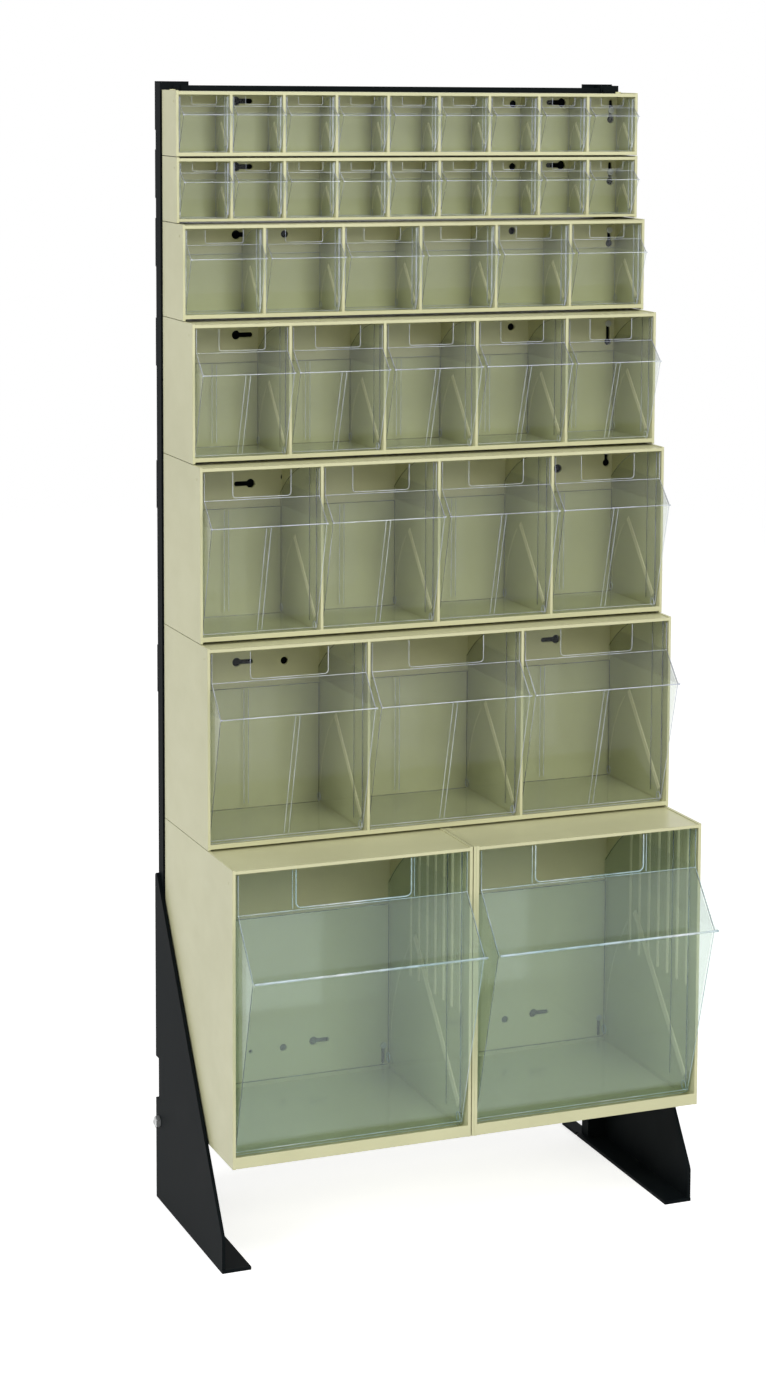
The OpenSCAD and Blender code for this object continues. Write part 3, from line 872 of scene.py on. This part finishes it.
@dataclass(frozen=True)
class RowShape:
    """One row's sizes in millimetres, as the part's source has them.

    A pair whose name ends in rule is a start and a growth for each millimetre of the opening's height.
    """

    number: int
    count: int
    height: float
    depth: float
    sill: float
    side_gap: float
    lip_out: float
    lip_drop: float
    bend_drop: float
    edge_out: float
    floor_drop: float
    top_bar: float = 5.0
    back: float = 3.0
    rear_gap: float = 3.0
    top_play: float = 1.5
    face_in: float = 0.3
    pin_in: float = 1.4
    rear_share: float = 0.88
    tilt: float = 48.0
    wall_rule: Pair = (1.1, 0.004)
    pivot_in_rule: Pair = (6.5, 0.04)
    pivot_up_rule: Pair = (2.0, 0.0095)
    corner_rule: Pair = (3.0, 0.019)
    corner_play: float = 0.6
    swing_play: float = 1.2
    stub_rule: Pair = (1.5, 0.009)
    stub_in: float = 1.4
    stub_behind: float = 1.0
    stub_above: float = 0.6
    rib_rule: Pair = (2.0, 0.011)
    corner_steps: int = 6

    def grown(self, rule: Pair) -> float:
        """Gives a size that grows with the opening."""
        return rule[0] + rule[1] * self.open_h

    @property
    def small(self) -> bool:
        """Whether the row is one of the three with the smallest bins."""
        return self.number < 4

    @property
    def large(self) -> bool:
        """Whether the row is the bottom one, of two large bins."""
        return self.number == 7

    @property
    def open_h(self) -> float:
        """Height of the opening."""
        return self.height - self.top_bar - self.sill

    @property
    def wall(self) -> float:
        """Thickness of the bin's walls."""
        return self.grown(self.wall_rule)

    @property
    def pivot(self) -> Vector:
        """The pins, as distance behind the front and height above the opening's bottom."""
        return Vector((self.grown(self.pivot_in_rule), self.grown(self.pivot_up_rule)))

    @property
    def rear(self) -> float:
        """Distance of the bin's back behind the front."""
        return self.depth - self.back - self.rear_gap

    @property
    def swing(self) -> float:
        """Radius of the sides' upper rear edge about the pins."""
        return self.open_h - self.pivot.y - self.swing_play

    @property
    def rear_rise(self) -> float:
        """Height above the pins of the sides' upper edge at the bin's back."""
        return self.above_pins(self.rear)

    @property
    def rear_top(self) -> float:
        """Height of the back wall's top."""
        return self.pivot.y + self.rear_share * self.rear_rise

    @property
    def slant(self) -> float:
        """How far the front's upper part leans out, in radians."""
        return math.atan2(self.lip_drop - self.bend_drop, self.lip_out - self.edge_out + self.face_in)

    @property
    def corner(self) -> float:
        """Radius of the front bottom corner."""
        return min(self.grown(self.corner_rule), self.pivot.y + self.floor_drop - self.corner_play)

    @property
    def lean(self) -> float:
        """How far the front's lower part leans out, in radians."""
        run = self.lip_out - self.edge_out + self.pivot.x
        rise = self.open_h - self.lip_drop - self.pivot.y
        return math.atan2(run, rise) - math.asin(self.corner / math.hypot(run, rise))

    @property
    def stub_radius(self) -> float:
        """Radius of the stubs near the bin's bottom rear corner."""
        return min(self.grown(self.stub_rule), self.corner - self.stub_in)

    @property
    def stub(self) -> Vector:
        """The stubs' place, from the pins."""
        radius = self.stub_radius
        return Vector((self.rear - radius - self.stub_behind,
                       self.pivot.y - self.corner + radius + self.stub_above)) - self.pivot

    def above_pins(self, back: float) -> float:
        """Gives how high above the pins the sides' arc is at a distance behind the front."""
        return math.sqrt(self.swing ** 2 - (back - self.pivot.x) ** 2)

    def round_pin(self, radius: float, angle: float) -> Pair:
        """Gives a point at the radius about the pins."""
        return self.pivot.x + radius * math.cos(angle), self.pivot.y + radius * math.sin(angle)

    def front(self, inset: float) -> list[Pair]:
        """Gives the front's outline, moved in by inset, from the top down to the bottom.

        Args:
            inset: How far inside the outer skin it lies.

        Returns:
            Points as distance behind the front and height: the top, the bend, the lip and the corner's arc.
        """
        turn = (math.pi / 2 - self.lean + self.slant) / 2
        lip = (self.edge_out - self.lip_out + inset * math.cos(turn - self.slant) / math.sin(turn),
               self.open_h - self.lip_drop - inset * math.sin(turn - self.slant) / math.sin(turn))
        bend = (self.face_in + inset,
                self.open_h - self.bend_drop - inset * math.tan((math.pi / 2 - self.slant) / 2))
        first, last = math.pi + self.lean, 1.5 * math.pi
        arc = [self.round_pin(self.corner - inset, first + (last - first) * i / self.corner_steps)
               for i in range(self.corner_steps + 1)]
        return [(self.face_in + inset, self.open_h - self.top_play), bend, lip, *arc]

    def place(self, node: str, x: float, point: Pair) -> Place:
        """Turns a point of a bin's section into a place in the stand.

        Args:
            node: The bin.
            x: The place across the stand, in metres.
            point: Distance behind the front and height, in millimetres.

        Returns:
            The place, in metres.
        """
        _, y, z = PINS["tilt_" + node.removeprefix("bin_")]
        return x, y + (point[0] - self.pivot.x) * MM, z + (point[1] - self.pivot.y) * MM


@dataclass(frozen=True)
class Weights:
    """Radii of a bin's edges, as shares of its fine line, or of the wall's thickness for the front's profile."""

    lip: float = 1.15
    lip_end: float = 2.0
    bend: float = 0.65
    skin: float = 0.4
    corner: float = 0.55
    mark: float = 1.0
    notch: float = 0.7
    notch_side: float = 0.7
    swing: float = 0.7
    rear_up: float = 0.9
    rear_across: float = 0.8
    twin: float = 0.9
    ring: float = 1.1
    wall_upper: float = 0.30
    wall_lower: float = 0.22


@dataclass
class BinEdges:
    """Painted highlight and shade lines along one bin's edges: its lip, bend, finger notch, rims and ribs, and rings
    round its pins.

    Sizes are in millimetres. A rule is a start and a growth for each millimetre of the opening's height.
    """

    node: str
    shape: RowShape
    fine: float
    weights: Weights = Weights()
    lip_ends: Pair = (-1.2, 1.0)
    lip_rise: float = 0.1
    across_in: float = 0.2
    mark_shares: tuple[Pair, ...] = ((0.06, 1.5), (0.23, 1.1))
    mark_play: float = 1.0
    mark_foot: float = 2.0
    notch_share: float = 0.5
    notch_rise: float = 2.2
    notch_rule: Pair = (0.6, 0.018)
    notch_angles: tuple[float, ...] = (0.0, 0.4, 0.8, 1.2, math.pi / 2)
    notch_side_out: float = 4.0
    notch_side_in: float = 0.6
    notch_side_low: float = 1.0
    rim_in: float = 0.3
    rim_steps: int = 10
    rear_foot: float = 1.0
    rear_trims: Pair = (-0.2, 0.3)
    twin_rows: tuple[int, ...] = (4, 5, 6)
    twin_gap: float = 4.6
    twin_wide: float = 1.1
    twin_out: float = 1.4
    twin_short: float = 2.0
    ring_rule: Pair = (3.0, 0.008)
    ring_points: int = 14
    rear_ring: Pair = (4.5, 0.8)

    def place(self, x: float, point: Pair) -> Place:
        """Turns a point of the section into a place in the stand, in metres."""
        return self.shape.place(self.node, x, point)

    def build(self, bright: bpy.types.Material, dim: bpy.types.Material) -> None:
        """Builds the edges as a bright piece of painted highlights and a dim piece of painted shade.

        Args:
            bright: The finish painted as highlight on the lip, the bend, the notch and the ribs.
            dim: The finish painted as shade on the sides' edges.
        """
        shape, line, weights = self.shape, self.fine * MM, self.weights
        # lines gathers the painted highlights, sides the painted shade
        lines = Lines(self.node.replace("bin_", "bin_painted_highlights_"), self.node, "clear_plastic")
        sides = Lines(self.node.replace("bin_", "bin_painted_shade_"), self.node, "clear_plastic")
        low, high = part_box(self.node)
        reach = (shape.side_gap + shape.pin_in) * MM
        left, right = low[0] + reach, high[0] - reach
        middle, half = (left + right) / 2, (right - left) / 2 * self.notch_share
        thick = shape.wall * MM
        skin, core = shape.front(0.0), shape.front(shape.wall / 2)
        tip = (self.fine - shape.lip_out, shape.open_h - shape.lip_drop + self.lip_rise * shape.edge_out)
        across = [left + thick * self.across_in, right - thick * self.across_in]
        lines.add([self.place(x, tip) for x in across], line * weights.lip)
        lines.add([self.place(x, skin[1]) for x in across], line * weights.bend)
        upright = lines if shape.small else sides
        for x, lower in ((left + thick / 2, sides), (right - thick / 2, lines)):
            sides.add([self.place(x, p) for p in core[:3]], thick * weights.wall_upper)
            lower.add([self.place(x, p) for p in core[2:]], thick * weights.wall_lower)
            lines.add([self.place(x, p) for p in skin[:3]], line * weights.skin)
            lines.add([self.place(x + end * MM, tip) for end in self.lip_ends], line * weights.lip_end)
            self._side_marks(upright, x)
        for point in (skin[3], skin[-1]):
            lines.add([self.place(x, point) for x in across], line * weights.corner)
        self._notch(lines, middle, half)
        self._rear(upright, left, right)
        self._rings(lines, left, right)
        if shape.number in self.twin_rows:
            self._twin_ribs(lines, middle)
        lines.build(bright)
        sides.build(dim)

    def _side_marks(self, lines: Lines, x: float) -> None:
        """Adds the two upright edges that show inside a side wall.

        Args:
            lines: The piece to add to.
            x: The wall's place across the stand.
        """
        shape = self.shape
        for share, weight in self.mark_shares:
            back = share * shape.depth + self.mark_play
            top = shape.pivot.y + shape.above_pins(back) - self.mark_play
            ends = (shape.pivot.y + self.mark_foot, min(top, shape.open_h - shape.top_play))
            lines.add([self.place(x, (back, h)) for h in ends], self.fine * MM * weight * self.weights.mark)

    def _notch(self, lines: Lines, middle: float, half: float) -> None:
        """Adds the top edges and the outline of the finger notch.

        Args:
            lines: The piece to add to.
            middle: The bin's middle across the stand.
            half: Half of the notch's width.
        """
        shape, line = self.shape, self.fine * MM
        front = shape.face_in + shape.wall / 2
        top = shape.open_h - shape.top_play
        foot = shape.open_h - shape.bend_drop + self.notch_rise
        bend = shape.grown(self.notch_rule)
        rounded = [((1 - math.cos(a)) * bend * MM, (1 - math.sin(a)) * bend) for a in self.notch_angles]
        path = [(middle - half, top)]
        path += [(middle - half + run, foot + rise) for run, rise in rounded]
        path += [(middle + half - run, foot + rise) for run, rise in reversed(rounded)]
        path.append((middle + half, top))
        lines.add([self.place(x, (front, h)) for x, h in path], line * self.weights.notch)
        if shape.large:
            ends = [(front + self.notch_side_in, h) for h in (foot - self.notch_side_low, top)]
            for side in (-1, 1):
                x = middle + side * (half + self.notch_side_out * MM)
                lines.add([self.place(x, end) for end in ends], line * self.weights.notch_side)

    def _rear(self, lines: Lines, left: float, right: float) -> None:
        """Adds the sides' curved upper edges and the back wall's edges.

        Args:
            lines: The piece to add to.
            left: The left side's outer face across the stand.
            right: The right side's outer face.
        """
        shape, line, thick = self.shape, self.fine * MM, self.shape.wall * MM
        top, bottom = shape.rear_top, shape.pivot.y - shape.corner
        inner = shape.rear - shape.wall / 2
        start = math.asin(shape.rear_rise / shape.swing)
        end = math.asin(min(1.0, (shape.open_h - shape.top_play - shape.pivot.y) / shape.swing))
        arc = [shape.round_pin(shape.swing - self.rim_in, start + (end - start) * i / self.rim_steps)
               for i in range(self.rim_steps + 1)]
        for x in (left + thick / 2, right - thick / 2):
            lines.add([self.place(x, p) for p in arc], line * self.weights.swing)
            lines.add([self.place(x, (inner, h)) for h in (bottom + self.rear_foot, top)],
                      line * self.weights.rear_up)
        for base, trim in zip((top, bottom), self.rear_trims):
            lines.add([self.place(x, (inner, base + trim)) for x in (left + thick, right - thick)],
                      line * self.weights.rear_across)

    def _twin_ribs(self, lines: Lines, middle: float) -> None:
        """Adds the edges of the twin ribs up the front and up the back.

        Args:
            lines: The piece to add to.
            middle: The bin's middle across the stand.
        """
        shape, radius = self.shape, self.fine * MM * self.weights.twin
        core = shape.front(shape.wall + self.twin_out)
        back = shape.rear - shape.wall - self.twin_out
        ends = [(back, shape.pivot.y), (back, shape.rear_top - self.twin_short)]
        for side in (-1, 1):
            x = middle + side * (self.twin_gap + self.twin_wide) / 2 * MM
            lines.add([self.place(x, p) for p in core[2:4]], radius)
            lines.add([self.place(x, p) for p in ends], radius)

    def _rings(self, lines: Lines, left: float, right: float) -> None:
        """Adds a ring inside each side round the pin and another near the back.

        Args:
            lines: The piece to add to.
            left: The left side's outer face across the stand.
            right: The right side's outer face.
        """
        shape, thick = self.shape, self.shape.wall * MM
        radius = shape.grown(self.ring_rule)
        behind, above = self.rear_ring
        turns = [2 * math.pi * k / self.ring_points for k in range(self.ring_points)]
        for y, z in (tuple(shape.pivot), (shape.rear - behind, shape.pivot.y + above)):
            ring = [(y + radius * math.cos(a), z + radius * math.sin(a)) for a in turns]
            for x in (left + thick, right - thick):
                lines.add([self.place(x, p) for p in ring], self.fine * MM * self.weights.ring, closed=True)


@dataclass
class Bins:
    """The clear bins, row by row from the top."""

    rows: tuple[RowShape, ...]
    line_rule: Pair = (0.26, 0.0013)
    large_shine: float = 0.067
    large_top_share: float = 0.12
    # share of painted shade over the large bins' leaning fronts
    large_painted_slant_shade: float = 0.03
    small_weights: Weights = Weights(mark=1.9)
    large_weights: Weights = Weights(lip=2.0, notch=1.3)

    def build(self) -> None:
        """Dresses every bin and gives it its edges."""
        # painted highlight and painted shade finishes for each batch's edge lines
        edges = {tint: (PaintedEdgeLight(tint).make(), PaintedEdgeLight(tint, dim=True).make()) for tint in Tint}
        for row in self.rows:
            weights = self.large_weights if row.large else self.small_weights if row.small else Weights()
            wall = self._wall(row)
            for place in range(1, row.count + 1):
                node = f"bin_r{row.number}_{place}"
                dress(node, wall)
                BinEdges(node, row, row.grown(self.line_rule), weights).build(*edges[self._tint(row)])
            LOG.info("dressed %d bins in row %d", row.count, row.number)

    @staticmethod
    def _tint(row: RowShape) -> Tint:
        """Gives the batch of plastic that a row is made of."""
        return Tint.GREEN if row.large else Tint.GREY

    def _wall(self, row: RowShape) -> bpy.types.Material:
        """Makes the material of a row's bins.

        Args:
            row: The row.

        Returns:
            The material.
        """
        top = PINS[f"tilt_r{row.number}_1"][2] + (row.open_h - row.pivot.y) * MM
        finish = ClearPlastic(f"clear_plastic_row{row.number}", self._tint(row), top - row.lip_drop * MM,
                              top - row.bend_drop * MM)
        if row.large:
            finish = replace(finish, shine=self.large_shine, top_share=self.large_top_share, painted_slant_shade=self.large_painted_slant_shade)
        return finish.make()


@dataclass
class WallMarks:
    """Painted highlights on the ribs that stop each bin and the arcs that its stubs run along, on the housings'
    walls.

    The walls of the large housings have flutes too. Sizes are in millimetres, the ribs' shifts are in rib widths, and
    a rule is a start and a growth for each millimetre of the opening's height.
    """

    rows: tuple[RowShape, ...]
    sides: int = 8
    rib_shifts: tuple[float, ...] = (-0.33, -0.11, 0.11, 0.33, 0.55, 0.77, 0.99)
    rib_round: float = 0.23
    rib_clear: float = 0.15
    rib_play: float = 0.35
    rib_from: float = 2.5
    rib_short: float = 0.5
    arc_radius: float = 0.42
    arc_out: float = 0.6
    arc_start: float = 0.12
    arc_share: float = 0.8
    arc_steps: int = 14
    flutes: int = 7
    flute_from: float = 25.5
    flute_step: float = 27.0
    flute_half: float = 1.2
    flute_radius: float = 1.5
    flute_out: float = 0.1
    flute_foot_rule: Pair = (-3.0, 0.4)
    flute_top_rule: Pair = (-5.0, 1.0)

    def build(self, rib_highlight_paint: bpy.types.Material) -> None:
        """Builds the marks of each row as one piece.

        Args:
            rib_highlight_paint: The lighter ivory painted as highlight on the ribs' lit faces, the arcs and the
                flutes.
        """
        for row in self.rows:
            # the whole piece is painted highlight, in a lighter copy of the ivory
            lines = Lines(f"wall_ribs_row{row.number}", "stand", "ivory_plastic", sides=self.sides)
            for place in range(1, row.count + 1):
                node = f"bin_r{row.number}_{place}"
                self._add_ribs(lines, node, row)
                if row.large:
                    self._add_flutes(lines, node, row)
            lines.build(rib_highlight_paint)

    @staticmethod
    def _walls(node: str, row: RowShape) -> tuple[Pair, Pair]:
        """Gives the two walls beside a bin: each one's place across the stand, and the way inwards."""
        low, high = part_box(node)
        return (low[0] + row.pin_in * MM, 1), (high[0] - row.pin_in * MM, -1)

    def _add_ribs(self, lines: Lines, node: str, row: RowShape) -> None:
        """Adds one compartment's ribs and arcs on both its walls.

        Args:
            lines: The piece to add to.
            node: The bin in the compartment.
            row: Its row.
        """
        stub, wide, tilt = row.stub, row.grown(row.rib_rule), math.radians(row.tilt)
        first = math.atan2(stub.y, stub.x)
        angle = tilt + first + math.asin((row.stub_radius + wide / 2 + self.rib_play) / stub.length)
        far = stub.length + row.stub_radius
        rib = [row.round_pin(r, angle) for r in (row.corner + self.rib_from, far - self.rib_short)]
        arc = [row.round_pin(far + self.arc_out, first + self.arc_start + tilt * self.arc_share * i / self.arc_steps)
               for i in range(self.arc_steps + 1)]
        radius = self.rib_round * wide
        for x, inward in self._walls(node, row):
            spot = x + inward * (row.side_gap - self.rib_clear - radius) * MM
            for shift in self.rib_shifts:
                y, z = -math.sin(angle) * shift * wide, math.cos(angle) * shift * wide
                lines.add([row.place(node, spot, (p[0] + y, p[1] + z)) for p in rib], radius * MM)
            lines.add([row.place(node, x, p) for p in arc], self.arc_radius * MM)

    def _add_flutes(self, lines: Lines, node: str, row: RowShape) -> None:
        """Adds the lit ridges of the flutes on both walls of a large housing.

        Args:
            lines: The piece to add to.
            node: The bin in the compartment.
            row: Its row.
        """
        ends = (row.grown(self.flute_foot_rule), row.grown(self.flute_top_rule))
        for x, inward in self._walls(node, row):
            for i in range(self.flutes):
                for shift in (-self.flute_half, self.flute_half):
                    back = self.flute_from + i * self.flute_step + shift
                    path = [row.place(node, x + inward * self.flute_out * MM, (back, h)) for h in ends]
                    lines.add(path, self.flute_radius * MM)


@dataclass
class Camera:
    """The photograph's camera, found from the corners of the housings.

    The picture is 766 by 1400 pixels, and its optical axis meets it right of the middle and above it. Angles are in
    degrees.
    """

    place: Place
    yaw: float
    pitch: float
    roll: float
    focal_px: float
    shift: Pair
    long_side_px: float = 1400.0
    sensor: float = 36.0

    def build(self) -> bpy.types.Object:
        """Makes the scene's camera.

        Returns:
            The camera.
        """
        data = bpy.data.cameras.new("photo_camera")
        data.sensor_fit = "AUTO"
        data.sensor_width = self.sensor
        data.lens = self.focal_px / self.long_side_px * self.sensor
        data.shift_x, data.shift_y = self.shift
        data.clip_start, data.clip_end = 0.05, 200.0
        camera = bpy.data.objects.new("photo_camera", data)
        yaw, pitch, roll = (math.radians(a) for a in (self.yaw, self.pitch, self.roll))
        ahead = Vector((math.sin(yaw) * math.cos(pitch), math.cos(yaw) * math.cos(pitch), math.sin(pitch)))
        right = Vector((math.cos(yaw), -math.sin(yaw), 0.0))
        down = -right.cross(ahead)
        across = math.cos(roll) * right + math.sin(roll) * down
        below = -math.sin(roll) * right + math.cos(roll) * down
        axes = Matrix((across, -below, -ahead)).transposed().to_4x4()
        camera.matrix_world = Matrix.Translation(self.place) @ axes
        bpy.context.scene.collection.objects.link(camera)
        bpy.context.scene.camera = camera
        LOG.info("camera placed")
        return camera


@dataclass
class Studio:
    """Pale floor, white surroundings and soft lamps: each one's name, place, target, size and power."""

    floor_radius: float = 7.0
    floor_clear: float = 2.2
    floor_gone: float = 6.3
    floor_colour: Colour = (0.80, 0.80, 0.80)
    floor_lift: float = 0.66
    surround: float = 0.46
    lamps: tuple[tuple[str, Place, Place, float, float], ...] = (
        ("front_lamp", (0.6, -5.0, 2.9), (0.0, 0.0, 0.6), 2.0, 112.0),
        ("side_lamp", (-4.6, -1.9, 2.6), (0.0, 0.0, 0.7), 2.0, 76.0),
        ("top_lamp", (-0.5, -2.2, 4.2), (0.0, 0.0, 0.8), 2.0, 40.0),
    )

    def build(self) -> None:
        """Makes the floor, the world and the lamps."""
        scene = bpy.context.scene
        scene.view_settings.view_transform = "Standard"
        scene.cycles.transparent_max_bounces = 48
        scene.cycles.transmission_bounces = 24
        scene.cycles.max_bounces = 28
        self._floor()
        self._world(scene)
        for name, place, target, size, power in self.lamps:
            data = bpy.data.lights.new(name, "AREA")
            data.shape, data.size, data.energy = "DISK", size, power
            lamp = bpy.data.objects.new(name, data)
            aim = (Vector(target) - Vector(place)).to_track_quat("-Z", "Y")
            lamp.matrix_world = Matrix.Translation(place) @ aim.to_matrix().to_4x4()
            scene.collection.objects.link(lamp)
            LOG.info("%s placed", name)

    def _floor(self) -> None:
        """Makes the floor, which keeps the stand's shadow and fades into the white surroundings."""
        half = self.floor_radius
        mesh = bpy.data.meshes.new("floor")
        corners = [(-half, -half, 0), (half, -half, 0), (half, half, 0), (-half, half, 0)]
        mesh.from_pydata(corners, [], [(0, 1, 2, 3)])
        floor = bpy.data.objects.new("floor", mesh)
        bpy.context.scene.collection.objects.link(floor)
        material, tree = new_material("studio_floor", self.floor_colour)
        away = tree.node("ShaderNodeVectorMath", {"operation": "LENGTH"}, {0: tree.place()}, "Value")
        plain = tree.principled({
            "Base Color": (*self.floor_colour, 1.0), "Roughness": 0.9, "Specular IOR Level": 0.0,
            "Emission Color": WHITE, "Emission Strength": self._seen(tree) * self.floor_lift,
        })
        tree.surface(tree.mix(away.smooth_step(self.floor_clear, self.floor_gone), plain, tree.clear(WHITE[:3])))
        mesh.materials.append(material)

    @staticmethod
    def _seen(tree: ShaderTree) -> Value:
        """Gives 1 for what the camera sees, also by reflection or through clear plastic."""
        first, *others = [tree.node("ShaderNodeLightPath", output=f"Is {kind} Ray")
                          for kind in ("Camera", "Glossy", "Transmission")]
        return sum(others, first).clamped()

    def _world(self, scene: bpy.types.Scene) -> None:
        """Makes the white surroundings.

        Args:
            scene: The scene that they belong to.
        """
        world = bpy.data.worlds.new("studio")
        world.use_nodes = True
        scene.world = world
        tree = ShaderTree(world.node_tree)
        strength = self._seen(tree) * (1.0 - self.surround) + self.surround
        shader = tree.node("ShaderNodeBackground", inputs={"Color": WHITE, "Strength": strength})
        tree.surface(shader, "ShaderNodeOutputWorld")


def row_shapes() -> tuple[RowShape, ...]:
    """Gives the rows' sizes from the top row down, in the order of the fields of RowShape."""
    return (
        RowShape(1, 9, 77.5, 56.5, 4.6, 1.2, 16.0, 23.5, 13.5, 1.2, 2.0),
        RowShape(2, 9, 77.2, 58.0, 4.5, 1.2, 17.0, 24.0, 13.5, 1.2, 0.8),
        RowShape(3, 6, 113.0, 81.0, 6.6, 1.2, 19.0, 35.3, 19.4, 1.4, 2.3),
        RowShape(4, 5, 164.5, 117.5, 6.9, 1.2, 27.0, 53.5, 29.5, 1.6, 2.6),
        RowShape(5, 4, 208.0, 145.5, 7.7, 1.2, 30.0, 63.6, 34.4, 1.8, 3.4),
        RowShape(6, 3, 240.0, 172.5, 6.4, 1.2, 37.0, 73.0, 36.5, 4.0, 2.9),
        RowShape(7, 2, 354.5, 264.0, 14.0, 2.0, 62.5, 113.0, 49.0, 8.5, 11.3),
    )


def main() -> None:
    """Builds the scene."""
    logging.basicConfig(level=logging.INFO, format="%(message)s")
    Camera(
        place=(-1.35122, -3.35662, 1.40159), yaw=23.6147, pitch=-6.6301, roll=-0.5518, focal_px=3023.63,
        shift=(-0.10, -0.20),
    ).build()
    Studio().build()
    Stand().build(PowderCoat().make(), ZincPlate().make())
    ivory = IvoryPlastic().make()
    Housings().build(ivory)
    JoiningStrip().build(ivory)
    # painted highlight: a lighter copy of the ivory for the lit faces of the wall ribs, arcs and flutes
    painted_highlight_ivory = IvoryPlastic(name="ivory_plastic_ribs_painted_highlight", colour=(0.97, 0.92, 0.66), shade=(0.92, 0.86, 0.60))
    rows = row_shapes()
    WallMarks(rows).build(painted_highlight_ivory.make())
    Bins(rows).build()


if __name__ == "__main__":
    main()
